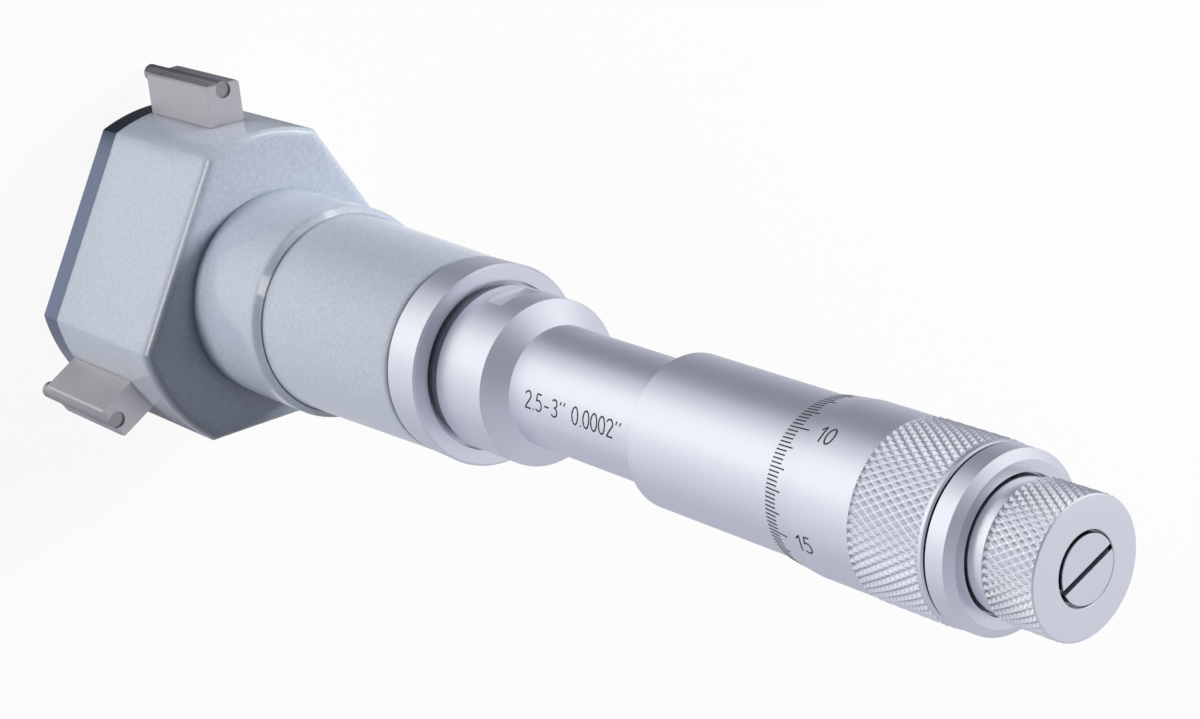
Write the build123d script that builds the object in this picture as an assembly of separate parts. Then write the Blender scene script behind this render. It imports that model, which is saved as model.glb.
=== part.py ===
from build123d import *
import os
from math import sqrt

# Three-point inside micrometer for bores of 2.5 to 3 inches. Millimetres.
# The instrument stands on the cover of its head: z runs along its axis from the cover's
# face up to the ratchet, and the first anvil points along +y.

# measuring range
bore_min = 63.5            # smallest bore, 2.5 in
bore_max = 76.2            # largest bore, 3 in
wedge_slope = 0.5          # outward travel of an anvil for each unit of wedge travel
anvil_travel = (bore_max - bore_min) / 2
feed = anvil_travel / wedge_slope
anvil_angles = (90, 210, 330)
screw_angles = (30, 150, 270)

# head: a round block with three flats
head_r = 25.2
head_flat = 20.0           # from the axis to a flat
head_len = 27.7
head_round = 1.2           # rounding of the rear rim
head_bore_r = 14.6
cover_t = 4.5
cover_bevel = 0.35
cover_floor = 1.4          # cover left under the wedge's pocket
cover_screw_r = 1.25
cover_screw_head_r = 2.3
cover_screw_len = 11.0
cover_screw_inset = 2.7    # from a flat in to a screw's axis

# anvils and their contact rods
anvil_w = 5.8
anvil_len = 18.0
anvil_gap = 0.1            # cover to anvil
anvil_side_gap = 0.05
anvil_root = 9.5           # inner end of the anvil's blade, measured from the axis
anvil_bevel = 0.3
anvil_set_back = 0.3       # blade's outer face behind the rod's contact line
rod_r = 1.3
rod_start = 0.2            # the rods end almost flush with the cover's face
rod_sunk = 0.4             # rod's rear end below the blade's rear face
foot_start = 10.5          # from the cover to the anvil's foot
foot_len = 5.5

# wedge that spreads the anvils
wedge_tip = 2.4            # from the axis to a face at the tip
wedge_crown = 1.8          # rounded corners stand this far beyond the faces
wedge_lead = 0.4           # wedge left below the foot at rest and above it at full feed
rib_neck_w = 1.8
rib_head_w = 3.4
rib_neck_h = 1.1
rib_head_h = 1.1
rib_gap = 0.06

# neck
flange_r = 16.0
flange_len = 17.8
flange_foot = 0.45         # bevel that makes the seam against the head
flange_bevel = 0.9
neck_front_r = 14.9
neck_rear_r = 14.15
neck_len = 30.8
guide_r = 8.5
guide_len = 24.0
push_rod_r = 3.0
run_gap = 0.06             # running clearance of shafts in their bores
free_gap = 0.5             # air between parts that pass each other

# lock ring and body
ring_r = 14.3              # the ring widens from the neck's end to its rear rim
ring_len = 6.6
ring_bevel = 0.3
ring_recess_r = 12.0
ring_recess = 1.5
spigot_r = 10.9
spigot_depth = 14.0        # length of the spigot inside the neck
spigot_gap = 1.3           # bare spigot between the ring and the hub
hub_r = 11.6
hub_len = 10.0
hub_bevel = 0.2
hub_cone = 2.3
spanner_w = 3.2
spanner_depth = 0.5
spanner_rise = 4.1         # from the hub's lower rim to the spanner flat
tube_r = 8.4
tube_bare = 26.6           # bare tube between the hub and the graduated sleeve
sleeve_r = 10.25
sleeve_bevel = 0.25
tube_bore_r = 6.5

# spindle, thimble and cap
thimble_r = 11.05
thimble_bore_gap = 0.13
thimble_edge = 0.12        # wall left at the reading edge
sleeve_showing = 26.1      # graduated sleeve in front of the thimble at rest
cone_len = 4.9             # bevelled reading edge of the thimble
thimble_len = 26.2
grip_r = 11.2              # over the knurl's ridges
grip_start = 14.4          # from the reading edge to the knurled grip
thimble_web = 3.0
thimble_bevel = 0.5
spindle_r = 3.6
spindle_front = 27.1       # spindle inside the body, ahead of the thimble's edge
nut_len = 15.0
thrust_ball_r = 2.0
rod_seat = 0.6             # depth of the ball's cup in each end
cap_gap = 0.4              # groove between thimble and cap
cap_r = 10.95
cap_len = 2.65
cap_bevel = 0.8
cap_face_r = 9.8
cap_recess_r = 8.4
cap_recess = 1.1
cap_plug = 1.5             # depth of the cap's plug in the thimble
cap_plug_r = 8.7

# ratchet
collar_r = 8.0
knob_r = 8.55
knob_land = 2.45           # smooth collar below the knurl
knob_len = 7.45
knob_bevel = 0.3
knob_gap = 0.25            # air under the knob
knob_room_r = 6.6          # hollow that takes the click
screw_head_r = 4.1
screw_head_gap = 0.32
screw_head_t = 1.5
screw_proud = 0.2          # screw head above the knob's face
screw_slot_w = 0.75
screw_slot_d = 0.8
screw_slot_angle = 21
screw_shank_r = 1.6
screw_shank_len = 12.0
click_r = 6.0
click_t = 1.5
tooth_count = 12
tooth_h = 0.7
tooth_w = 1.0
tooth_gap = 0.15           # the two rings of teeth stand this far apart
washer_t = 0.35
washer_rise = 0.65

# heights along the axis
z_head = cover_t
z_neck = z_head + head_len
z_step = z_neck + flange_len
z_ring = z_step + neck_len
z_ring_end = z_ring + ring_len
z_hub = z_ring_end + spigot_gap
z_cone = z_hub + hub_len
z_tube = z_cone + hub_cone
z_sleeve = z_tube + tube_bare
z_thimble = z_sleeve + sleeve_showing
z_web = z_thimble + thimble_len - thimble_web
z_cap = z_thimble + thimble_len + cap_gap
z_cap_face = z_cap + cap_len + cap_bevel
z_body_end = z_web - feed - free_gap
z_spindle = z_thimble - spindle_front
z_ball = z_spindle - 2 * thrust_ball_r
z_knurl = z_cap_face + knob_land
z_top = z_knurl + knob_len + knob_bevel
z_screw = z_top + screw_proud - screw_head_t
z_floor = z_cap_face - cap_recess
z_click = z_floor + 2 * (washer_t + washer_rise)
z_teeth = z_click + click_t + tooth_h
z_foot = z_head + foot_start
z_foot_end = z_foot + foot_len
z_wedge = z_foot - wedge_lead
z_wedge_end = z_foot_end + feed + wedge_lead


def turned(*corners):
    """Solid of revolution from (radius, height) corners."""
    return revolve(Plane.XZ * make_face(Polyline(*corners, close=True)), Axis.Z)


def drum(r, z0, z1):
    return turned((0, z0), (r, z0), (r, z1), (0, z1))


def pipe(r, bore, z0, z1):
    return turned((bore, z0), (r, z0), (r, z1), (bore, z1))


def spoke(angle, solid):
    """Turns a solid drawn along +y to its own direction about the axis."""
    return Rot(0, 0, angle - 90) * solid


def block(w, y0, y1, z0, z1):
    """Upright block centred on x = 0."""
    return Pos(0, (y0 + y1) / 2, (z0 + z1) / 2) * Box(w, y1 - y0, z1 - z0)


def face_at(z):
    """Distance of the resting wedge's face from the axis at one height."""
    return wedge_tip + wedge_slope * (z - z_wedge)


def inclined(w, y0, y1, z0, z1):
    """Bar of constant level section that leans outward with the wedge's face.

    y0 and y1 are measured from the face itself.
    """
    section = Pos(0, face_at(z0) + (y0 + y1) / 2, z0) * Rectangle(w, y1 - y0)
    return extrude(section, (z1 - z0) * sqrt(1 + wedge_slope ** 2), dir=(0, wedge_slope, 1))


def head_outline():
    flats = RegularPolygon(head_flat, 3, major_radius=False, rotation=anvil_angles[0])
    return Circle(head_r) & flats


def screw_places(z):
    return [Rot(0, 0, a) * Pos(head_flat - cover_screw_inset, 0, z) for a in screw_angles]


def make_front_cover():
    cover = extrude(head_outline(), cover_t)
    cover = chamfer(cover.faces().sort_by(Axis.Z)[0].edges(), cover_bevel)
    tip_reach = face_at(z_wedge) + rib_neck_h + rib_head_h
    pocket_r = sqrt(tip_reach ** 2 + (rib_head_w / 2) ** 2) + wedge_slope * (cover_t - z_wedge + feed)
    cover -= drum(pocket_r + free_gap, cover_floor, cover_t + 1)
    for place in screw_places(0):
        cover -= place * turned((0, -1), (cover_screw_head_r, -1), (cover_screw_head_r, 0),
                                (cover_screw_r, cover_screw_head_r - cover_screw_r),
                                (cover_screw_r, cover_t + 1), (0, cover_t + 1))
    return cover


def make_cover_screws():
    taper = cover_screw_head_r - cover_screw_r
    screws = []
    for place in screw_places(0):
        screw = turned((0, 0.05), (cover_screw_head_r - 0.05, 0.05), (cover_screw_r, taper),
                       (cover_screw_r, cover_screw_len), (0, cover_screw_len))
        screw -= Pos(0, 0, 0.4) * Box(2 * cover_screw_head_r, 0.6, 0.8)
        screws.append(place * screw)
    return Compound(screws)


def make_head_housing():
    head = Pos(0, 0, z_head) * extrude(head_outline(), head_len)
    head = fillet(head.faces().sort_by(Axis.Z)[-1].edges(), head_round)
    head -= drum(head_bore_r, z_head - 1, z_neck + 1)
    slot_top = z_head + anvil_gap + anvil_len + anvil_side_gap
    for a in anvil_angles:
        head -= spoke(a, block(anvil_w + 2 * anvil_side_gap, 0, head_r + 1, z_head - 1, slot_top))
    for place in screw_places(0):
        head -= place * drum(cover_screw_r, z_head - 1, cover_screw_len)
    return head


def make_anvil(angle):
    z0 = z_head + anvil_gap
    outer = bore_min / 2 - anvil_set_back
    blade = block(anvil_w, anvil_root, outer, z0, z0 + anvil_len)
    blade = chamfer(blade.faces().sort_by(Axis.Y)[-1].edges(), anvil_bevel)
    foot = block(anvil_w, 0, anvil_root + 1, z_foot, z_foot_end)
    foot -= inclined(2 * anvil_w, -anvil_root, rib_gap, z_foot, z_foot_end)
    anvil = blade + foot
    anvil -= inclined(rib_neck_w + 2 * rib_gap, -1, rib_neck_h + rib_gap, z_foot - 1, z_foot_end + 1)
    anvil -= inclined(rib_head_w + 2 * rib_gap, rib_neck_h - rib_gap,
                      rib_neck_h + rib_head_h + rib_gap, z_foot - 1, z_foot_end + 1)
    anvil -= Pos(0, bore_min / 2 - rod_r, 0) * drum(rod_r, z0 - 1, z0 + anvil_len + 1)
    return spoke(angle, anvil)


def make_contact_rod(angle):
    end = z_head + anvil_gap + anvil_len - rod_sunk
    rod = turned((0, rod_start), (rod_r * 0.6, rod_start), (rod_r, rod_start + rod_r * 0.5),
                 (rod_r, end), (0, end))
    return spoke(angle, Pos(0, bore_min / 2 - rod_r, 0) * rod)


def make_wedge():
    grow = wedge_slope * (z_wedge_end - z_wedge)
    tip_r = wedge_tip + wedge_crown
    wedge = turned((0, z_wedge), (tip_r, z_wedge), (tip_r + grow, z_wedge_end), (0, z_wedge_end))
    for a in anvil_angles:
        wedge -= spoke(a, inclined(4 * head_bore_r, 0, head_bore_r, z_wedge - 1, z_wedge_end + 1))
        neck = inclined(rib_neck_w, -0.5, rib_neck_h, z_wedge, z_wedge_end)
        rail = inclined(rib_head_w, rib_neck_h, rib_neck_h + rib_head_h, z_wedge, z_wedge_end)
        wedge += spoke(a, neck + rail)
    return wedge


def make_push_rod():
    rod = drum(push_rod_r, z_wedge_end, z_ball + rod_seat)
    return rod - Pos(0, 0, z_ball + thrust_ball_r) * Sphere(thrust_ball_r)


def make_thrust_ball():
    return Pos(0, 0, z_ball + thrust_ball_r) * Sphere(thrust_ball_r)


def make_neck():
    z_guide = z_wedge_end + free_gap
    z_spigot = z_ring - spigot_depth
    shell = turned((0, z_neck), (flange_r - flange_foot, z_neck), (flange_r, z_neck + flange_foot),
                   (flange_r, z_step - flange_bevel), (flange_r - flange_bevel, z_step),
                   (neck_front_r, z_step), (neck_rear_r, z_ring), (0, z_ring))
    shell -= drum(head_bore_r, z_neck - 1, z_guide)
    shell -= drum(guide_r, z_guide - 1, z_guide + guide_len)
    shell -= drum(push_rod_r + free_gap, z_guide, z_spigot + 1)
    shell -= drum(spigot_r, z_spigot, z_ring + 1)
    return shell


def make_guide_bush():
    z_guide = z_wedge_end + free_gap
    return pipe(guide_r, push_rod_r + run_gap, z_guide, z_guide + guide_len)


def make_lock_ring():
    ring = turned((spigot_r, z_ring), (neck_rear_r - ring_bevel, z_ring),
                  (neck_rear_r, z_ring + ring_bevel), (ring_r, z_ring_end - ring_bevel), (ring_r - ring_bevel, z_ring_end),
                  (ring_recess_r, z_ring_end), (ring_recess_r, z_ring_end - ring_recess),
                  (spigot_r, z_ring_end - ring_recess))
    return ring


def make_body():
    z_spigot = z_ring - spigot_depth
    body = turned((0, z_spigot), (spigot_r, z_spigot), (spigot_r, z_hub), (hub_r - hub_bevel, z_hub),
                  (hub_r, z_hub + hub_bevel), (hub_r, z_cone), (tube_r, z_tube), (tube_r, z_body_end),
                  (0, z_body_end))
    body -= drum(push_rod_r + free_gap, z_spigot - 1, z_ball)
    body -= drum(tube_bore_r, z_hub, z_body_end + 1)
    z_flat = z_hub + spanner_rise - spanner_w / 2
    return body - block(2 * hub_r, hub_r - spanner_depth, hub_r + 1, z_flat, z_flat + spanner_w)


def make_scale_sleeve():
    return turned((tube_r, z_sleeve), (sleeve_r - sleeve_bevel, z_sleeve), (sleeve_r, z_sleeve + sleeve_bevel),
                  (sleeve_r, z_body_end), (tube_r, z_body_end))


def make_spindle_nut():
    return pipe(tube_bore_r, spindle_r + run_gap, z_body_end - nut_len, z_body_end)


def make_spindle():
    spindle = drum(spindle_r, z_spindle - rod_seat, z_screw)
    spindle -= Pos(0, 0, z_ball + thrust_ball_r) * Sphere(thrust_ball_r)
    return spindle - drum(screw_shank_r, z_screw - screw_shank_len, z_screw + 1)


def make_thimble():
    z_end = z_thimble + thimble_len
    z_grip = z_thimble + grip_start
    bore = sleeve_r + thimble_bore_gap
    thimble = turned((bore, z_thimble), (bore + thimble_edge, z_thimble), (thimble_r, z_thimble + cone_len),
                     (thimble_r, z_grip), (grip_r, z_grip), (grip_r, z_end - thimble_bevel),
                     (grip_r - thimble_bevel, z_end),
                     (spindle_r, z_end), (spindle_r, z_web), (bore, z_web))
    return thimble - drum(cap_plug_r, z_end - cap_plug, z_end + 1)


def make_thimble_cap():
    z_end = z_thimble + thimble_len
    z_bevel = z_cap + cap_len
    return turned((spindle_r, z_end - cap_plug), (cap_plug_r, z_end - cap_plug), (cap_plug_r, z_cap),
                  (cap_r, z_cap), (cap_r, z_bevel),
                  (cap_face_r, z_cap_face), (cap_recess_r, z_cap_face), (cap_recess_r, z_floor),
                  (spindle_r, z_floor))


def notches(z, depth):
    """Ramped radial notches of a toothed ring, open towards z + depth."""
    ramp = Polyline((-tooth_w / 2, depth), (tooth_w / 2, depth), (tooth_w / 2, 0), close=True)
    notch = extrude(Plane.XZ * make_face(ramp), -knob_r)
    return [Rot(0, 0, i * 360 / tooth_count) * Pos(0, 0, z) * notch for i in range(tooth_count)]


def make_spring_washers():
    """Two coned washers, rim to rim, that press the click up against the knob."""
    inner, outer = spindle_r + 0.4, click_r - 0.4
    mid = z_floor + washer_t + washer_rise
    lower = turned((inner, z_floor), (inner, z_floor + washer_t),
                   (outer, mid), (outer, mid - washer_t))
    upper = turned((inner, z_click), (inner, z_click - washer_t), (outer, mid), (outer, mid + washer_t))
    return Compound([lower, upper])


def make_click():
    click = pipe(click_r, spindle_r, z_click, z_teeth)
    for notch in notches(z_teeth - tooth_h, tooth_h):
        click -= notch
    return click


def make_ratchet_knob():
    z_face = z_teeth + tooth_gap
    knob = turned((0, z_floor + knob_gap), (collar_r, z_floor + knob_gap), (collar_r, z_knurl),
                  (knob_r, z_knurl), (knob_r, z_knurl + knob_len), (knob_r - knob_bevel, z_top), (0, z_top))
    knob -= drum(knob_room_r, z_floor, z_face)
    knob -= drum(spindle_r + run_gap, z_floor, z_top + 1)
    knob -= drum(screw_head_r + screw_head_gap, z_screw - run_gap, z_top + 1)
    for notch in notches(z_face + tooth_h, -tooth_h):
        knob -= notch
    return knob


def make_ratchet_screw():
    screw = turned((0, z_screw - screw_shank_len), (screw_shank_r, z_screw - screw_shank_len),
                   (screw_shank_r, z_screw), (screw_head_r, z_screw),
                   (screw_head_r, z_top + screw_proud), (0, z_top + screw_proud))
    slot = Pos(0, 0, z_top + screw_proud) * Box(3 * screw_head_r, screw_slot_w, 2 * screw_slot_d)
    return screw - Rot(0, 0, screw_slot_angle) * slot


parts = {
    "front_cover": make_front_cover(),
    "cover_screws": make_cover_screws(),
    "head_housing": make_head_housing(),
    "neck": make_neck(),
    "guide_bush": make_guide_bush(),
    "lock_ring": make_lock_ring(),
    "body_sleeve": make_body(),
    "scale_sleeve": make_scale_sleeve(),
    "spindle_nut": make_spindle_nut(),
    "wedge": make_wedge(),
    "push_rod": make_push_rod(),
    "thrust_ball": make_thrust_ball(),
    "spindle": make_spindle(),
    "thimble": make_thimble(),
    "thimble_cap": make_thimble_cap(),
    "spring_washers": make_spring_washers(),
    "click": make_click(),
    "ratchet_knob": make_ratchet_knob(),
    "ratchet_screw": make_ratchet_screw(),
}
for letter, angle in zip("abc", anvil_angles):
    parts["anvil_" + letter] = make_anvil(angle)
    parts["contact_rod_" + letter] = make_contact_rod(angle)

os.makedirs("parts", exist_ok=True)
for name, solid in parts.items():
    export_step(solid, f"parts/{name}.step")
    print(name, len(solid.solids()), round(solid.volume, 1))
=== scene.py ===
from math import cos, degrees, pi, radians, sin

import bmesh
import bpy
from mathutils import Matrix, Vector


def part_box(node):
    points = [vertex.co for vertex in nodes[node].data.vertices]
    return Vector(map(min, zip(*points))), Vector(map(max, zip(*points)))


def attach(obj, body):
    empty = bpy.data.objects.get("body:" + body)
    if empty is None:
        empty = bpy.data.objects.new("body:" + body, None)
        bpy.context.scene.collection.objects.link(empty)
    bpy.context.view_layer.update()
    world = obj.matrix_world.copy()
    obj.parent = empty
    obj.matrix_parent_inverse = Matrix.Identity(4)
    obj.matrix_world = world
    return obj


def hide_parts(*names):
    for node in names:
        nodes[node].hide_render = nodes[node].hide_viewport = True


# Inside micrometer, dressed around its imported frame. The frame is in metres;
# profiles and sizes below are in millimetres and pass through mm.

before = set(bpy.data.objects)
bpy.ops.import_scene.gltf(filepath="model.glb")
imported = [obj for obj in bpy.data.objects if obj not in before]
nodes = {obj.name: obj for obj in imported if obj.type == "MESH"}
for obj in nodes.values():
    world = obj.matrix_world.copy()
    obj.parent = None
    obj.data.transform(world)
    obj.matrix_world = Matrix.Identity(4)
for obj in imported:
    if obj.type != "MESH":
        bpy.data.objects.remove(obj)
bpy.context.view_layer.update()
mm = 0.001
sharpAngle = 26       # an edge that turns by more degrees than this stays sharp
knurlSharpAngle = 20
edgeSamples = 4       # rays that round an edge in the shading
gapSamples = 8        # rays that look for a narrow gap


# meshes

def smoothByAngle(mesh, angle):
    mesh.polygons.foreach_set("use_smooth", [True] * len(mesh.polygons))
    mesh.set_sharp_from_angle(angle=radians(angle))


def addPiece(name, bm, body, material, replaced=(), angle=sharpAngle):
    bmesh.ops.recalc_face_normals(bm, faces=bm.faces)
    mesh = bpy.data.meshes.new(name)
    bm.to_mesh(mesh)
    bm.free()
    smoothByAngle(mesh, angle)
    mesh.materials.append(material)
    piece = bpy.data.objects.new(name, mesh)
    bpy.context.scene.collection.objects.link(piece)
    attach(piece, body)
    if replaced:
        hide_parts(*replaced)
    return piece


def lathe(outline, segments):
    # outline is a closed run of (radius, height) or (radius, height, relief)
    bm = bmesh.new()
    rings = []
    for radius, height, *relief in outline:
        ring = []
        for k in range(segments):
            share = k / segments
            r = radius + (relief[0](share, height) if relief else 0)
            turn = 2 * pi * share
            ring.append(bm.verts.new(Vector((r * cos(turn), r * sin(turn), height)) * mm))
        rings.append(ring)
    for lower, upper in zip(rings, rings[1:] + rings[:1]):
        for k in range(segments):
            n = (k + 1) % segments
            bm.faces.new((lower[k], lower[n], upper[n], upper[k]))
    return bm


# shader parts that several finishes share

def addNode(tree, kind, inputs=None, **settings):
    node = tree.nodes.new(kind)
    for key, value in settings.items():
        setattr(node, key, value)
    for key, value in (inputs or {}).items():
        if isinstance(value, bpy.types.NodeSocket):
            tree.links.new(value, node.inputs[key])
        else:
            node.inputs[key].default_value = value
    return node


def calc(tree, operation, *values, clamp=False):
    inputs = dict(enumerate(values))
    return addNode(tree, "ShaderNodeMath", inputs, operation=operation, use_clamp=clamp).outputs[0]


def objectPlace(tree):
    return addNode(tree, "ShaderNodeTexCoord").outputs["Object"]


def noiseAt(tree, place, size, **inputs):
    # noise whose patches have a size in millimetres
    scale = calc(tree, "DIVIDE", 1 / mm, size)
    return addNode(tree, "ShaderNodeTexNoise", {"Vector": place, "Scale": scale, **inputs}).outputs["Fac"]


def meanOf(tree, first, second):
    return calc(tree, "MULTIPLY", calc(tree, "ADD", first, second), 0.5)


def spreadOut(tree, value, strength):
    # more or less contrast about one half
    spread = calc(tree, "MULTIPLY", calc(tree, "SUBTRACT", value, 0.5), strength)
    return calc(tree, "ADD", spread, 0.5, clamp=True)


def newGroup(name, inputs, output):
    group = bpy.data.node_groups.new(name, "ShaderNodeTree")
    kind = "NodeSocketFloat"
    for label, value in inputs.items():
        socket = group.interface.new_socket(name=label, in_out="INPUT", socket_type=kind)
        socket.default_value = value
    group.interface.new_socket(name=output, in_out="OUTPUT", socket_type=kind)
    given = group.nodes.new("NodeGroupInput").outputs
    out = group.nodes.new("NodeGroupOutput").inputs
    return group, given, out


def buildGrain():
    # even, fine grain of a blasted or painted surface
    group, given, out = newGroup("fineGrain", {"Size mm": 0.3, "Contrast": 1.0}, "Grain")
    noise = noiseAt(group, objectPlace(group), given["Size mm"], Detail=2.0, Roughness=0.6)
    group.links.new(spreadOut(group, noise, given["Contrast"]), out["Grain"])
    return group


def buildLatheLines():
    # fine rings around the axis, along a cylinder and across an end face alike
    group, given, out = newGroup("latheLines", {"Pitch mm": 0.12, "Depth": 1.0}, "Lines")
    parts = addNode(group, "ShaderNodeSeparateXYZ", {"Vector": objectPlace(group)}).outputs
    squares = [calc(group, "MULTIPLY", parts[axis], parts[axis]) for axis in ("X", "Y")]
    reach = calc(group, "SQRT", calc(group, "ADD", *squares))
    flat = addNode(group, "ShaderNodeCombineXYZ", {"X": reach, "Y": 0.0, "Z": parts["Z"]}).outputs[0]
    noise = noiseAt(group, flat, given["Pitch mm"], Detail=1.0)
    group.links.new(spreadOut(group, noise, given["Depth"]), out["Lines"])
    return group


def buildHandling():
    # broad, soft patches left by hands and wiping
    group, given, out = newGroup("handling", {"Size mm": 14.0, "Strength": 1.0}, "Patches")
    noise = noiseAt(group, objectPlace(group), given["Size mm"], Detail=3.0, Distortion=0.6)
    group.links.new(calc(group, "MULTIPLY", noise, given["Strength"]), out["Patches"])
    return group


def buildEdgeWear():
    # mask along edges, from how far a rounded normal leans from the real one; the finishes lighten edges by
    # it, partly as wear and partly as painted highlight
    group, given, out = newGroup("edgeWearAndHighlight", {"Width mm": 0.15, "Strength": 1.0}, "Edges")
    width = calc(group, "MULTIPLY", given["Width mm"], mm)
    rounded = addNode(group, "ShaderNodeBevel", {"Radius": width}, samples=edgeSamples).outputs[0]
    real = addNode(group, "ShaderNodeNewGeometry").outputs["Normal"]
    agree = addNode(group, "ShaderNodeVectorMath", {0: rounded, 1: real}, operation="DOT_PRODUCT")
    lean = calc(group, "SUBTRACT", 1.0, agree.outputs["Value"])
    group.links.new(calc(group, "MULTIPLY", lean, given["Strength"], clamp=True), out["Edges"])
    return group


def buildCrevice():
    # mask of narrow gaps and inner corners, which the finishes darken as painted shade
    group, given, out = newGroup("creviceShade", {"Reach mm": 0.6, "Strength": 1.0, "Start": 0.25}, "PaintedShade")
    reach = calc(group, "MULTIPLY", given["Reach mm"], mm)
    around = addNode(group, "ShaderNodeAmbientOcclusion", {"Distance": reach}, samples=gapSamples)
    closed = calc(group, "SUBTRACT", 1.0, around.outputs["AO"])
    shut = calc(group, "SUBTRACT", closed, given["Start"])
    group.links.new(calc(group, "MULTIPLY", shut, given["Strength"], clamp=True), out["PaintedShade"])
    return group


grainGroup, linesGroup = buildGrain(), buildLatheLines()
handlingGroup, wearAndHighlightGroup, creviceShadeGroup = buildHandling(), buildEdgeWear(), buildCrevice()


def effect(tree, group, values):
    return addNode(tree, "ShaderNodeGroup", values, node_tree=group).outputs[0]


def newMaterial(name, values):
    material = bpy.data.materials.new(name)
    material.use_nodes = True
    shader = material.node_tree.nodes["Principled BSDF"].inputs
    for key, value in values.items():
        shader[key].default_value = value
    return material, material.node_tree, shader


mixSockets = {"low": 6, "high": 7, "result": 2}   # where a Mix node keeps its colours


def blendColour(tree, factor, low, high):
    # low where the factor is 0, high where it is 1; each a colour or a socket
    inputs = {"Factor": factor}
    for end, value in (("low", low), ("high", high)):
        plain = not isinstance(value, bpy.types.NodeSocket)
        inputs[mixSockets[end]] = (*value, 1) if plain else value
    node = addNode(tree, "ShaderNodeMix", inputs, data_type="RGBA")
    return node.outputs[mixSockets["result"]]


def rangeOf(tree, value, low, high):
    return addNode(tree, "ShaderNodeMapRange", {"Value": value, "To Min": low, "To Max": high}).outputs[0]


def reliefOf(tree, height, look):
    # relief of a surface whose edges are broken by a small radius
    soft = addNode(tree, "ShaderNodeBevel", {"Radius": look["edge"] * mm}, samples=edgeSamples).outputs[0]
    inputs = {"Height": height, "Normal": soft, "Strength": look["relief"],
              "Distance": look["reliefDepth"] * mm}
    return addNode(tree, "ShaderNodeBump", inputs).outputs[0]


def fillIn(tree, shader, colour, patches, height, look):
    tree.links.new(colour, shader["Base Color"])
    tree.links.new(rangeOf(tree, patches, *look["rough"]), shader["Roughness"])
    tree.links.new(reliefOf(tree, height, look), shader["Normal"])


# finishes

paintLook = {
    # the third colour below is painted shade for gaps and inner corners
    "light": (0.67, 0.735, 0.85), "dark": (0.55, 0.615, 0.73), "grime": (0.10, 0.11, 0.13),
    "fleck": {"Size mm": 0.5, "Contrast": 2.6}, "orangePeel": {"Size mm": 1.6, "Contrast": 1.0},
    "patches": {"Size mm": 18.0, "Strength": 1.0},
    "gaps": {"Reach mm": 0.8, "Strength": 0.6, "Start": 0.52},
    "coat": 0.9, "coatRoughness": 0.10, "rough": (0.30, 0.42),
    "relief": 0.12, "reliefDepth": 0.05, "edge": 2.2,
}


def makePaint():
    look = paintLook
    coat = {"Coat Weight": look["coat"], "Coat Roughness": look["coatRoughness"]}
    material, tree, shader = newMaterial("greyPaint", coat)
    fleck = effect(tree, grainGroup, look["fleck"])
    patches = effect(tree, handlingGroup, look["patches"])
    gaps = effect(tree, creviceShadeGroup, look["gaps"])
    peel = effect(tree, grainGroup, look["orangePeel"])
    colour = blendColour(tree, fleck, look["dark"], look["light"])
    # gaps and inner corners are darkened towards the third colour: painted shade
    fillIn(tree, shader, blendColour(tree, gaps, colour, look["grime"]), patches, peel, look)
    return material


chromeBase = {
    # the third colour below is painted shade for gaps and inner corners
    "low": (0.75, 0.765, 0.83), "high": (0.85, 0.865, 0.925), "grime": (0.06, 0.06, 0.075),
    "grain": {"Size mm": 0.14, "Contrast": 1.4}, "lines": {"Pitch mm": 0.16, "Depth": 0.15},
    "patches": {"Size mm": 12.0, "Strength": 1.0}, "rough": (0.30, 0.38),
    # the edge mask below lightens edges, partly as wear and partly as painted highlight
    "wear": {"Width mm": 0.12, "Strength": 1.2}, "wearShare": 0.5, "relief": 0.10, "reliefDepth": 0.02,
}
chromeLook = {
    # what sets each plated finish apart, such as how far and how strongly the painted shade in gaps reaches
    "satinChrome": {"edge": 0.12, "gaps": {"Reach mm": 2.0, "Strength": 4.0, "Start": 0.52}},
    "ringChrome": {"edge": 0.02, "gaps": {"Reach mm": 0.3, "Strength": 1.6, "Start": 0.8}},
    "knurledChrome": {
        "edge": 0.03, "gaps": {"Reach mm": 0.5, "Strength": 1.6, "Start": 0.35}, "relief": 0.04,
        "low": (0.77, 0.78, 0.83), "high": (0.87, 0.88, 0.93), "rough": (0.20, 0.30),
        "lines": {"Pitch mm": 0.16, "Depth": 0.0},
    },
}


def makeChrome(name):
    look = {**chromeBase, **chromeLook[name]}
    material, tree, shader = newMaterial(name, {"Metallic": 1.0})
    grain = effect(tree, grainGroup, look["grain"])
    lines = effect(tree, linesGroup, look["lines"])
    patches = effect(tree, handlingGroup, look["patches"])
    wear = effect(tree, wearAndHighlightGroup, look["wear"])
    gaps = effect(tree, creviceShadeGroup, look["gaps"])
    mixed = meanOf(tree, grain, lines)
    # edges are lightened, partly as wear and partly as painted highlight
    tone = calc(tree, "ADD", mixed, calc(tree, "MULTIPLY", wear, look["wearShare"]), clamp=True)
    colour = blendColour(tree, tone, look["low"], look["high"])
    # gaps and inner corners are darkened towards the third colour: painted shade
    fillIn(tree, shader, blendColour(tree, gaps, colour, look["grime"]), patches, mixed, look)
    return material


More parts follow.
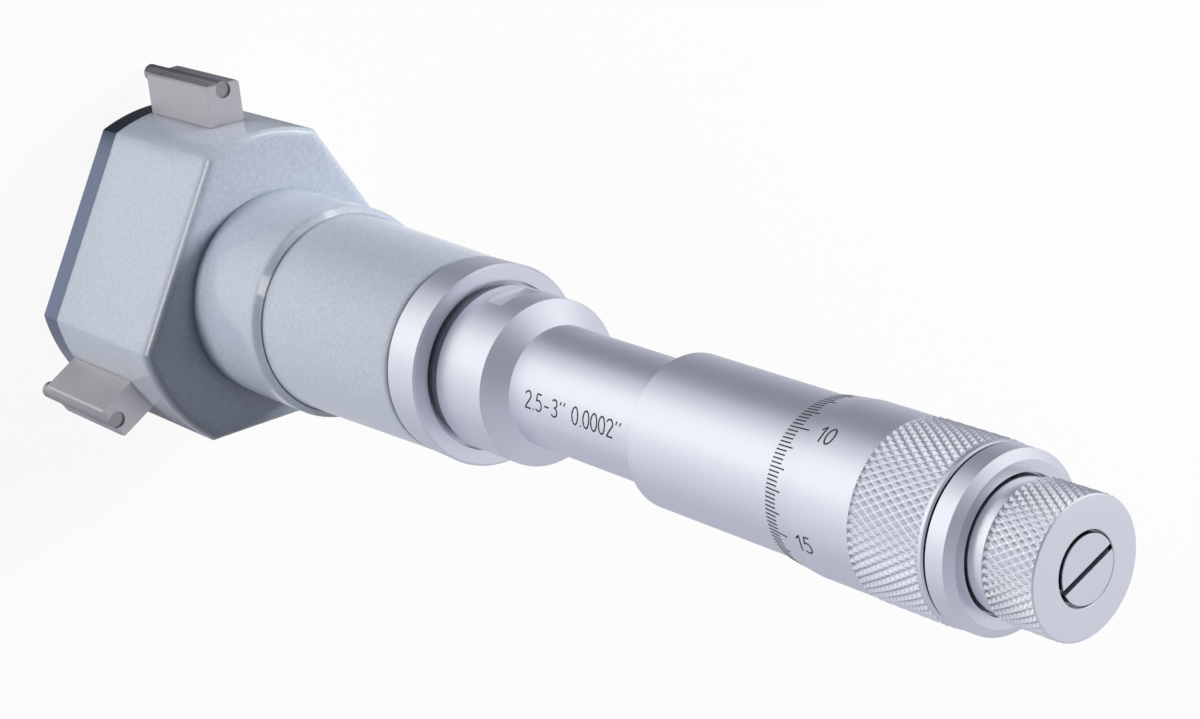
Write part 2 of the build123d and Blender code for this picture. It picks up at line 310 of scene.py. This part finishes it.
steelBase = {
    "lines": {"Pitch mm": 0.2, "Depth": 1.4}, "patches": {"Size mm": 6.0, "Strength": 1.0},
    # the edge mask below lightens edges, partly as wear and partly as painted highlight
    "wear": {"Width mm": 0.2, "Strength": 1.6}, "relief": 0.12, "reliefDepth": 0.02, "edge": 0.15,
}
steelLook = {
    # grinding is the scale of its lines along x, y and z: they run where it is small
    "groundSteel": {"low": (0.47, 0.445, 0.46), "high": (0.67, 0.645, 0.66), "rough": (0.34, 0.46),
                    "grinding": (9000, 9000, 500)},
    "innerSteel": {"low": (0.42, 0.42, 0.43), "high": (0.56, 0.56, 0.57), "rough": (0.25, 0.36)},
    "hardMetal": {"low": (0.28, 0.275, 0.29), "high": (0.40, 0.39, 0.40), "rough": (0.26, 0.36)},
    "bluedSteel": {"low": (0.11, 0.135, 0.21), "high": (0.15, 0.18, 0.26), "rough": (0.14, 0.22)},
    "bronze": {"low": (0.52, 0.35, 0.17), "high": (0.68, 0.48, 0.26), "rough": (0.28, 0.40)},
}


def makeSteel(name):
    # bare metal: ground pieces have straight lines, turned ones have rings
    look = {**steelBase, **steelLook[name]}
    material, tree, shader = newMaterial(name, {"Metallic": 1.0})
    if "grinding" in look:
        stretch = {"Vector": objectPlace(tree), "Scale": look["grinding"]}
        place = addNode(tree, "ShaderNodeMapping", stretch).outputs[0]
        noise = addNode(tree, "ShaderNodeTexNoise", {"Vector": place, "Scale": 1.0, "Detail": 3.0})
        lines = noise.outputs["Fac"]
    else:
        lines = effect(tree, linesGroup, look["lines"])
    patches = effect(tree, handlingGroup, look["patches"])
    wear = effect(tree, wearAndHighlightGroup, look["wear"])
    # edges are lightened, partly as wear and partly as painted highlight
    tone = calc(tree, "ADD", meanOf(tree, lines, patches), wear, clamp=True)
    fillIn(tree, shader, blendColour(tree, tone, look["low"], look["high"]), patches, lines, look)
    return material


inkLook = {
    "dark": (0.012, 0.012, 0.016), "light": (0.035, 0.035, 0.042), "rough": (0.45, 0.65),
    "grain": {"Size mm": 0.12, "Contrast": 1.6},
}


def makeInk():
    look = inkLook
    material, tree, shader = newMaterial("ink", {})
    grain = effect(tree, grainGroup, look["grain"])
    tree.links.new(blendColour(tree, grain, look["dark"], look["light"]), shader["Base Color"])
    tree.links.new(rangeOf(tree, grain, *look["rough"]), shader["Roughness"])
    return material


paint, ink = makePaint(), makeInk()
satinChrome, ringChrome = makeChrome("satinChrome"), makeChrome("ringChrome")
knurledChrome = makeChrome("knurledChrome")
groundSteel, innerSteel = makeSteel("groundSteel"), makeSteel("innerSteel")
hardMetal, bluedSteel = makeSteel("hardMetal"), makeSteel("bluedSteel")
bronze = makeSteel("bronze")

finishOf = {
    paint: ["head_housing", "neck"],
    bluedSteel: ["front_cover", "cover_screws"],
    groundSteel: ["anvil_a", "anvil_b", "anvil_c"],
    hardMetal: ["contact_rod_a", "contact_rod_b", "contact_rod_c"],
    satinChrome: ["body_sleeve", "scale_sleeve", "thimble", "ratchet_screw"],
    ringChrome: ["lock_ring", "thimble_cap"],
    knurledChrome: ["ratchet_knob"],
    innerSteel: ["wedge", "push_rod", "thrust_ball", "spindle", "spring_washers", "click"],
    bronze: ["guide_bush", "spindle_nut"],
}
for finish, names in finishOf.items():
    for name in names:
        mesh = nodes[name].data
        mesh.materials.clear()
        mesh.materials.append(finish)
        smoothByAngle(mesh, sharpAngle)
print("finishes ready")


# thimble and ratchet knob, with their knurls cut in the mesh

def endsOf(node):
    # heights of a node's lower and upper end
    return [round(corner.z / mm, 3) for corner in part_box(node)]


thimbleEdge, thimbleEnd = endsOf("thimble")
knobBase, knobTop = endsOf("ratchet_knob")
knurl = {"groove": 0.06, "blunt": 0.44}   # flat of the grooves and start of the blunt tips, in diamonds
thimble = {
    "edgeRadius": 10.5, "edgeBevel": 0.03, "bore": 10.38,
    "radius": 11.05, "coneEnd": thimbleEdge + 4.9, "coneBlend": 0.15, "coneDrop": 0.02,
    "knurlStart": thimbleEdge + 14.4, "knurlEnd": thimbleEnd - 0.85, "knurlStep": 0.02, "gripRadius": 11.19,
    "endRadius": 10.85, "endBevel": 0.25, "web": thimbleEnd - 3.0,
    "plugRadius": 8.7, "plugFloor": thimbleEnd - 1.5, "shaft": 3.6,
    "diamonds": 64, "length": 1.835, "depth": 0.40, "samples": 8,
}
knob = {
    "collarRadius": 8.15, "collarBevel": 0.12, "collarEnd": 7.85, "land": knobBase + 3.3,
    "radius": 8.54, "landDrop": 0.25, "startDrop": 0.05, "endDrop": 0.1,
    "knurlStart": knobBase + 3.6, "knurlEnd": knobTop - 0.35, "knurlStep": 0.02,
    "topRadius": 8.25, "dome": 0.18, "domeSteps": 6,
    "hole": 4.42, "holeBevel": 0.1, "holeFloor": knobTop - 1.36,
    "shaft": 3.66, "hollow": 6.6, "hollowTop": knobBase + 4.1,
    "diamonds": 52, "length": 1.70, "depth": 0.38, "samples": 8,
}


def knurlRings(radius, piece):
    # rings of a diamond knurl: blunt pyramids parted by flat-bottomed grooves
    start, end = piece["knurlStart"], piece["knurlEnd"]
    count = round((end - start) / piece["length"] * piece["samples"])

    def relief(share, height):
        u = share * piece["diamonds"]
        v = (height - start) / piece["length"]
        a, b = (u + v) % 1, (u - v) % 1
        rise = (min(a, 1 - a, b, 1 - b) - knurl["groove"]) / (knurl["blunt"] - knurl["groove"])
        return piece["depth"] * (min(max(rise, 0), 1) - 1)

    return [(radius, start + (end - start) * k / count, relief) for k in range(count + 1)]


def makeThimble():
    t = thimble
    outline = [
        (t["bore"], thimbleEdge), (t["edgeRadius"] - t["edgeBevel"], thimbleEdge),
        (t["edgeRadius"], thimbleEdge + t["edgeBevel"]),
        (t["radius"] - t["coneDrop"], t["coneEnd"] - t["coneBlend"]),
        (t["radius"], t["coneEnd"] + t["coneBlend"]), (t["radius"], t["knurlStart"] - t["knurlStep"]),
        *knurlRings(t["gripRadius"], t),
        (t["radius"], t["knurlEnd"] + t["knurlStep"]), (t["radius"], thimbleEnd - t["endBevel"]),
        (t["endRadius"], thimbleEnd), (t["plugRadius"], thimbleEnd), (t["plugRadius"], t["plugFloor"]),
        (t["shaft"], t["plugFloor"]), (t["shaft"], t["web"]), (t["bore"], t["web"]),
    ]
    bm = lathe(outline, t["diamonds"] * t["samples"])
    addPiece("thimbleBarrel", bm, "thimble", satinChrome, ["thimble"], knurlSharpAngle)


def domePoints():
    # crowned end face, from its rim in to the screw's hole
    k = knob
    inward = k["hole"] + k["holeBevel"] - k["topRadius"]
    shares = [step / k["domeSteps"] for step in range(k["domeSteps"] + 1)]
    return [(k["topRadius"] + inward * share, knobTop - k["dome"] * (1 - share) ** 2) for share in shares]


def makeKnob():
    k = knob
    outline = [
        (k["shaft"], k["hollowTop"]), (k["hollow"], k["hollowTop"]), (k["hollow"], knobBase),
        (k["collarRadius"] - k["collarBevel"], knobBase), (k["collarRadius"], knobBase + k["collarBevel"]),
        (k["collarEnd"], k["land"]), (k["radius"] - k["landDrop"], k["land"] + k["knurlStep"]),
        (k["radius"] - k["startDrop"], k["knurlStart"] - k["knurlStep"]),
        *knurlRings(k["radius"], k),
        (k["radius"] - k["endDrop"], k["knurlEnd"] + k["knurlStep"]), *domePoints(),
        (k["hole"], knobTop - k["holeBevel"]), (k["hole"], k["holeFloor"]), (k["shaft"], k["holeFloor"]),
    ]
    bm = lathe(outline, k["diamonds"] * k["samples"])
    addPiece("ratchetGrip", bm, "ratchet", knurledChrome, ["ratchet_knob"], knurlSharpAngle)


makeThimble()
makeKnob()
print("knurled pieces ready")


# engraved and inked marks

marks = {"proud": 0.012, "sunk": 0.05, "tickWidth": 0.18, "line": 0.14, "stroke": 0.23, "run": 0.25,
         "letterGap": 0.18, "touching": 1e-6}
thimbleScale = {
    "divisions": 125, "medium": 5, "long": 25, "zeroAngle": -21.3,
    "start": thimbleEdge + 0.05, "ends": (thimbleEdge + 1.95, thimbleEdge + 2.7, thimbleEdge + 3.55),
    "numbers": (0, 5, 10, 15, 20), "turnReads": 25,
    "numberStart": thimbleEdge + 5.35, "numberSize": 2.2, "numberGap": 0.24,
}
sleeveScale = {
    "divisions": 20, "medium": 2, "long": 4, "travel": 12.7, "radius": 10.25, "angle": -21.3,
    "lengths": (1.4, 2.2, 3.0), "tickRuns": 4, "lineBefore": 2.5, "linePast": 1.0,
    "numbers": ("2.5", "6", "7", "8", "9", "0"), "numberOffset": 4.3, "numberSize": 1.6,
}
rangeText = {"words": '2.5-3" 0.0002"', "radius": 8.4, "angle": 168.6, "size": 2.28,
             "start": endsOf("scale_sleeve")[0] - 23.1}

# faces of a bar whose corners go by end, then by level, then by side
barFaces = ((0, 1, 3, 2), (4, 6, 7, 5), (0, 2, 6, 4), (1, 5, 7, 3), (2, 3, 7, 6), (0, 4, 5, 1))


def outwardAt(angle):
    return Vector((cos(radians(angle)), sin(radians(angle)), 0))


def inkLevels(radius):
    return radius - marks["sunk"], radius + marks["proud"]


def closeBar(bm, corners):
    verts = [bm.verts.new(corner * mm) for corner in corners]
    for face in barFaces:
        bm.faces.new([verts[k] for k in face])


def addBar(bm, inner, outer, width, angle):
    # slim bar from one (radius, height) to another, at one angle in degrees
    outward = outwardAt(angle)
    across = Vector((-outward.y, outward.x, 0)) * width / 2
    closeBar(bm, [outward * level + across * side + Vector((0, 0, height))
                  for radius, height in (inner, outer) for level in inkLevels(radius) for side in (-1, 1)])


def addRingBar(bm, radius, height, here, there):
    # short bar that follows the ring between two angles
    closeBar(bm, [outwardAt(angle) * level + Vector((0, 0, height + side * marks["line"] / 2))
                  for angle in (here, there) for level in inkLevels(radius) for side in (-1, 1)])


def coneRadius(height):
    t = thimble
    share = min((height - thimbleEdge) / (t["coneEnd"] - thimbleEdge), 1)
    return t["edgeRadius"] + (t["radius"] - t["edgeRadius"]) * share


def makeThimbleTicks():
    s = thimbleScale
    bm = bmesh.new()
    for k in range(s["divisions"]):
        end = s["ends"][(k % s["medium"] == 0) + (k % s["long"] == 0)]
        angle = s["zeroAngle"] + 360 * k / s["divisions"]
        addBar(bm, (coneRadius(s["start"]), s["start"]), (coneRadius(end), end), marks["tickWidth"], angle)
    addPiece("thimbleTicks", bm, "thimble", ink)


def makeSleeveTicks():
    s = sleeveScale
    bm = bmesh.new()
    low, high = thimbleEdge - s["travel"] - s["lineBefore"], thimbleEdge + s["linePast"]
    addBar(bm, (s["radius"], low), (s["radius"], high), marks["line"], s["angle"])
    for k in range(s["divisions"] + 1):
        height = thimbleEdge - s["travel"] * k / s["divisions"]
        reach = s["lengths"][(k % s["medium"] == 0) + (k % s["long"] == 0)]
        turns = [degrees(reach * q / s["tickRuns"] / s["radius"]) for q in range(s["tickRuns"] + 1)]
        for here, there in zip(turns, turns[1:]):
            addRingBar(bm, s["radius"], height, s["angle"] - here, s["angle"] - there)
    addPiece("sleeveTicks", bm, "frame", ink)


def bow(x, y, wide, tall, start, end, steps=10):
    # points of an arc, angles in degrees from the right
    turns = [radians(start + (end - start) * k / steps) for k in range(steps + 1)]
    return [(x + wide * cos(a), y + tall * sin(a)) for a in turns]


# strokes of each figure in a box one unit tall, and the figure's width
figures = {
    "0": ([bow(0.26, 0.5, 0.26, 0.5, 0, 360, 28)], 0.52),
    "1": ([[(0.02, 0.74), (0.28, 1.0), (0.28, 0.0)]], 0.34),
    "2": ([bow(0.26, 0.74, 0.25, 0.26, 165, -25, 12) + [(0.0, 0.0), (0.52, 0.0)]], 0.52),
    "3": ([bow(0.24, 0.765, 0.23, 0.235, 150, -90), bow(0.22, 0.265, 0.28, 0.265, 90, -145)], 0.50),
    "5": ([[(0.47, 1.0), (0.09, 1.0), (0.05, 0.55)] + bow(0.22, 0.32, 0.29, 0.32, 118, -140, 12)], 0.52),
    "6": ([bow(0.26, 0.3, 0.26, 0.3, 0, 360, 22), bow(0.56, 0.3, 0.56, 0.72, 180, 115, 8)], 0.52),
    "7": ([[(0.0, 1.0), (0.52, 1.0), (0.16, 0.0)]], 0.52),
    "8": ([bow(0.26, 0.75, 0.22, 0.25, 0, 360, 22), bow(0.26, 0.25, 0.26, 0.25, 0, 360, 22)], 0.52),
    "9": ([bow(0.26, 0.7, 0.26, 0.3, 0, 360, 22), bow(-0.04, 0.7, 0.56, 0.72, 0, -65, 8)], 0.52),
    ".": ([[(0.06, -0.03), (0.06, 0.06)]], 0.12),
    "-": ([[(0.08, 0.42), (0.50, 0.42)]], 0.58),
    '"': ([[(0.08, 0.80), (0.15, 1.0)], [(0.41, 0.80), (0.48, 1.0)]], 0.56),
    " ": ([], 0.28),
}


def addStroke(bm, points, radius, angle):
    # inked line through points of (height, offset from the angle), laid on the barrel
    path = [Vector(points[0])]
    for point in points[1:]:
        start, end = path[-1], Vector(point)
        parts = max(1, round((end - start).length / marks["run"]))
        path += [start.lerp(end, (k + 1) / parts) for k in range(parts)]
    closed = (path[0] - path[-1]).length < marks["touching"]
    if closed:
        path.pop()
    count = len(path)
    rows = []
    for k, here in enumerate(path):
        before = path[k - 1] if k or closed else here
        after = path[(k + 1) % count] if k < count - 1 or closed else here
        along = (after - before).normalized()
        side = Vector((-along.y, along.x)) * marks["stroke"] / 2
        row = []
        for level in (marks["proud"], -marks["sunk"]):
            for place in (here + side, here - side):
                turn = radians(angle) - place.y / radius
                r = radius + level
                row.append(bm.verts.new(Vector((r * cos(turn), r * sin(turn), place.x)) * mm))
        rows.append(row)
    for k in range(count if closed else count - 1):
        here, there = rows[k], rows[(k + 1) % count]
        for a, b in ((0, 1), (1, 3), (3, 2), (2, 0)):
            bm.faces.new((here[a], here[b], there[b], there[a]))
    if not closed:
        for row in (rows[0], rows[-1]):
            bm.faces.new([row[k] for k in (0, 1, 3, 2)])


def textWidth(words, gap):
    return sum(figures[letter][1] for letter in words) + gap * (len(words) - 1)


def addText(bm, words, radius, angle, low, tall, gap=marks["letterGap"]):
    # words run along the axis from height low, their tops towards smaller angles
    reach = 0
    for letter in words:
        strokes, wide = figures[letter]
        for stroke in strokes:
            addStroke(bm, [(low + (reach + x) * tall, (y - 0.5) * tall) for x, y in stroke], radius, angle)
        reach += wide + gap


def makeThimbleNumbers():
    s = thimbleScale
    bm = bmesh.new()
    for number in s["numbers"]:
        angle = s["zeroAngle"] + 360 * number / s["turnReads"]
        addText(bm, str(number), thimble["radius"], angle, s["numberStart"], s["numberSize"], s["numberGap"])
    addPiece("thimbleNumbers", bm, "thimble", ink)


def makeRangeMarking():
    r = rangeText
    bm = bmesh.new()
    addText(bm, r["words"], r["radius"], r["angle"], r["start"], r["size"])
    addPiece("rangeMarking", bm, "frame", ink)


def makeSleeveNumbers():
    # each number is centred on its tick
    s = sleeveScale
    bm = bmesh.new()
    angle = s["angle"] - degrees(s["numberOffset"] / s["radius"])
    for k, words in enumerate(s["numbers"]):
        height = thimbleEdge - s["travel"] * k / (len(s["numbers"]) - 1)
        low = height - textWidth(words, marks["letterGap"]) * s["numberSize"] / 2
        addText(bm, words, s["radius"], angle, low, s["numberSize"])
    addPiece("sleeveNumbers", bm, "frame", ink)


makeThimbleTicks()
makeSleeveTicks()
makeThimbleNumbers()
makeRangeMarking()
makeSleeveNumbers()
print("marks ready")


# floor, light and camera

studio = {
    "floorSize": 6.0, "floorWhite": 0.92, "floorGlow": 0.93, "ambient": (0.046, 0.05, 0.054),
    # brightness that polished metal sees below and above the horizon, by direction in degrees
    "below": ((-180, 0.95), (-150, 0.78), (-110, 0.60), (-60, 0.58), (-10, 0.75), (20, 0.49),
              (50, 0.30), (75, 0.32), (100, 0.74), (130, 1.14), (160, 1.18)),
    "above": ((-180, 0.41), (-150, 0.52), (-128, 0.54), (-105, 0.58), (-80, 0.65), (-30, 0.76), (5, 0.98),
              (35, 1.12), (60, 0.94), (88, 0.52), (112, 0.34), (160, 0.36)),
    "horizon": (-0.15, 0.35),   # heights between which below turns into above
    # panels dimmer than coolStart turn bluer, by these shares of each colour once coolSpan dimmer
    "coolStart": 1.2, "coolSpan": 0.6, "coolMost": 1.2, "coolTint": (-0.05, -0.035, 0.08),
}
shade = {"height": -0.06, "radius": 0.075, "sector": (250, 498), "steps": 48, "notch": (-0.018, 0.029, 0),
         "tone": (0.11, 0.11, 0.125)}


def layFlat(name, corners, materialName):
    # one flat face, with a material that has no nodes yet
    bm = bmesh.new()
    bm.faces.new([bm.verts.new(corner) for corner in corners])
    mesh = bpy.data.meshes.new(name)
    bm.to_mesh(mesh)
    bm.free()
    material = bpy.data.materials.new(materialName)
    material.use_nodes = True
    material.node_tree.nodes.clear()
    mesh.materials.append(material)
    sheet = bpy.data.objects.new(name, mesh)
    bpy.context.scene.collection.objects.link(sheet)
    return sheet, material.node_tree


def makeFloor():
    half = studio["floorSize"] / 2
    corners = [(x * half, y * half, 0) for x, y in ((-1, -1), (1, -1), (1, 1), (-1, 1))]
    paper, tree = layFlat("floor", corners, "floorPaper")
    white = (studio["floorWhite"],) * 3 + (1,)
    matt = addNode(tree, "ShaderNodeBsdfDiffuse", {"Color": white}).outputs[0]
    glow = addNode(tree, "ShaderNodeEmission", {"Color": (1, 1, 1, 1), "Strength": 1.0}).outputs[0]
    path = addNode(tree, "ShaderNodeLightPath").outputs
    seen = calc(tree, "MAXIMUM", path["Is Camera Ray"], path["Is Transmission Ray"])
    share = calc(tree, "MULTIPLY", seen, studio["floorGlow"])
    mixed = addNode(tree, "ShaderNodeMixShader", {0: share, 1: matt, 2: glow}).outputs[0]
    addNode(tree, "ShaderNodeOutputMaterial", {"Surface": mixed})
    paper.visible_glossy = False
    return paper


def makeShade():
    # dark that only gloss sees, under the lower sides of the head; the notch leaves one flat bright
    s = shade
    start, end = (radians(a) for a in s["sector"])
    turns = [start + (end - start) * k / s["steps"] for k in range(s["steps"] + 1)]
    points = [Vector((cos(a), sin(a), 0)) * s["radius"] for a in turns]
    points += [Vector(s["notch"]), Vector((0, 0, 0))]
    dark, tree = layFlat("shade", [point + Vector((0, 0, s["height"])) for point in points], "shadeTone")
    tone = addNode(tree, "ShaderNodeEmission", {"Color": (*s["tone"], 1), "Strength": 1.0}).outputs[0]
    addNode(tree, "ShaderNodeOutputMaterial", {"Surface": tone})
    dark.visible_camera = dark.visible_diffuse = dark.visible_shadow = dark.visible_transmission = False


def panorama(tree, around, levels):
    # soft panels of light round the horizon; the dimmer ones are bluer
    ramp = addNode(tree, "ShaderNodeValToRGB", {"Fac": around})
    ramp.color_ramp.interpolation = "EASE"
    stops = [((angle + 180) / 360, level) for angle, level in levels] + [(1.0, levels[0][1])]
    first, last = ramp.color_ramp.elements
    first.position, last.position = stops[0][0], stops[-1][0]
    for place, level in stops[1:-1]:
        ramp.color_ramp.elements.new(place)
    for element, (place, level) in zip(ramp.color_ramp.elements, stops):
        cool = min(max((studio["coolStart"] - level) / studio["coolSpan"], 0), studio["coolMost"])
        element.color = (*(level * (1 + tint * cool) for tint in studio["coolTint"]), 1)
    return ramp.outputs[0]


def makeWorld():
    world = bpy.data.worlds.new("studio")
    bpy.context.scene.world = world
    world.use_nodes = True
    tree = world.node_tree
    tree.nodes.clear()
    direction = addNode(tree, "ShaderNodeTexCoord").outputs["Generated"]
    parts = addNode(tree, "ShaderNodeSeparateXYZ", {"Vector": direction}).outputs
    turn = calc(tree, "ARCTAN2", parts["Y"], parts["X"])
    around = calc(tree, "ADD", calc(tree, "DIVIDE", turn, 2 * pi), 0.5)
    low, high = studio["horizon"]
    height = addNode(tree, "ShaderNodeMapRange", {"Value": parts["Z"], "From Min": low, "From Max": high},
                     interpolation_type="SMOOTHSTEP").outputs[0]
    below, above = panorama(tree, around, studio["below"]), panorama(tree, around, studio["above"])
    path = addNode(tree, "ShaderNodeLightPath").outputs
    mirrored = blendColour(tree, height, below, above)
    lit = blendColour(tree, path["Is Glossy Ray"], studio["ambient"], mirrored)
    seen = calc(tree, "MAXIMUM", path["Is Camera Ray"], path["Is Transmission Ray"])
    shown = blendColour(tree, seen, lit, (1, 1, 1))
    background = addNode(tree, "ShaderNodeBackground", {"Color": shown}).outputs[0]
    addNode(tree, "ShaderNodeOutputWorld", {"Surface": background})


lampAim = Vector((0, 0, 0.09))
lamps = {
    # direction as azimuth and elevation in degrees, distance, width and height in metres, power in watts;
    # a lamp below the floor shines through it, for the light from under a tool that lies on its side
    "skyLamp": {"azimuth": 25, "elevation": 35, "distance": 0.9, "size": (0.3, 0.3), "power": 7.8},
    "sideLamp": {"azimuth": 110, "elevation": -20, "distance": 0.9, "size": (0.5, 0.3), "power": 1.85},
    "frontLamp": {"azimuth": 180, "elevation": -20, "distance": 0.9, "size": (0.4, 0.3), "power": 3.2},
    # these reach only the nodes named in on, and glint lamps show only in their gloss
    "neckLamp": {"azimuth": 225, "elevation": -25, "distance": 0.7, "size": (0.3, 0.2), "power": 0.8,
                 "on": ["neck"]},
    "frontGlint": {"azimuth": 150, "elevation": 24, "distance": 0.9, "size": (0.25, 0.6), "power": 3.2,
                   "on": ["head_housing", "neck"], "glint": True},
    "skyGlint": {"azimuth": 44, "elevation": 22, "distance": 0.9, "size": (0.7, 0.3), "power": 3.4,
                 "on": ["head_housing", "neck"], "glint": True},
}


def linkLight(holder, part, members, state):
    reach = bpy.data.collections.new(holder.name + part)
    for member in members:
        reach.objects.link(member)
    for entry in reach.collection_objects:
        entry.light_linking.link_state = state
    return reach


def makeLamps(paper):
    for name, lamp in lamps.items():
        azimuth, elevation = radians(lamp["azimuth"]), radians(lamp["elevation"])
        towards = Vector((cos(elevation) * cos(azimuth), cos(elevation) * sin(azimuth), sin(elevation)))
        light = bpy.data.lights.new(name, "AREA")
        light.shape, light.energy = "RECTANGLE", lamp["power"]
        light.size, light.size_y = lamp["size"]
        holder = bpy.data.objects.new(name, light)
        holder.location = lampAim + towards * lamp["distance"]
        holder.rotation_euler = towards.to_track_quat("Z", "Y").to_euler()
        holder.visible_camera = False
        holder.visible_glossy = "glint" in lamp
        holder.visible_diffuse = "glint" not in lamp
        bpy.context.scene.collection.objects.link(holder)
        linking = holder.light_linking
        if "on" in lamp:
            lit = [nodes[n] for n in lamp["on"]]
            linking.receiver_collection = linkLight(holder, "Reach", lit, "INCLUDE")
        if lamp["elevation"] < 0:
            linking.blocker_collection = linkLight(holder, "Free", [paper], "EXCLUDE")


camera = {
    # solved from the ellipses of the turned parts in the photo
    "place": (-0.20022, 0.12390, 0.37630), "lens": 81.008, "sensor": 36, "near": 0.01,
    "right": (0.774459, -0.094321, 0.625553), "up": (0.280010, 0.937796, -0.205262),
}


def makeCamera():
    lens = bpy.data.cameras.new("camera")
    lens.lens, lens.sensor_width, lens.clip_start = camera["lens"], camera["sensor"], camera["near"]
    holder = bpy.data.objects.new("camera", lens)
    right, up = Vector(camera["right"]).normalized(), Vector(camera["up"])
    back = right.cross(up).normalized()
    turn = Matrix((right, back.cross(right), back)).transposed()
    holder.matrix_world = Matrix.Translation(camera["place"]) @ turn.to_4x4()
    bpy.context.scene.collection.objects.link(holder)
    bpy.context.scene.camera = holder


makeLamps(makeFloor())
makeShade()
makeWorld()
makeCamera()
bpy.context.scene.view_settings.view_transform = "Standard"
print("studio ready")
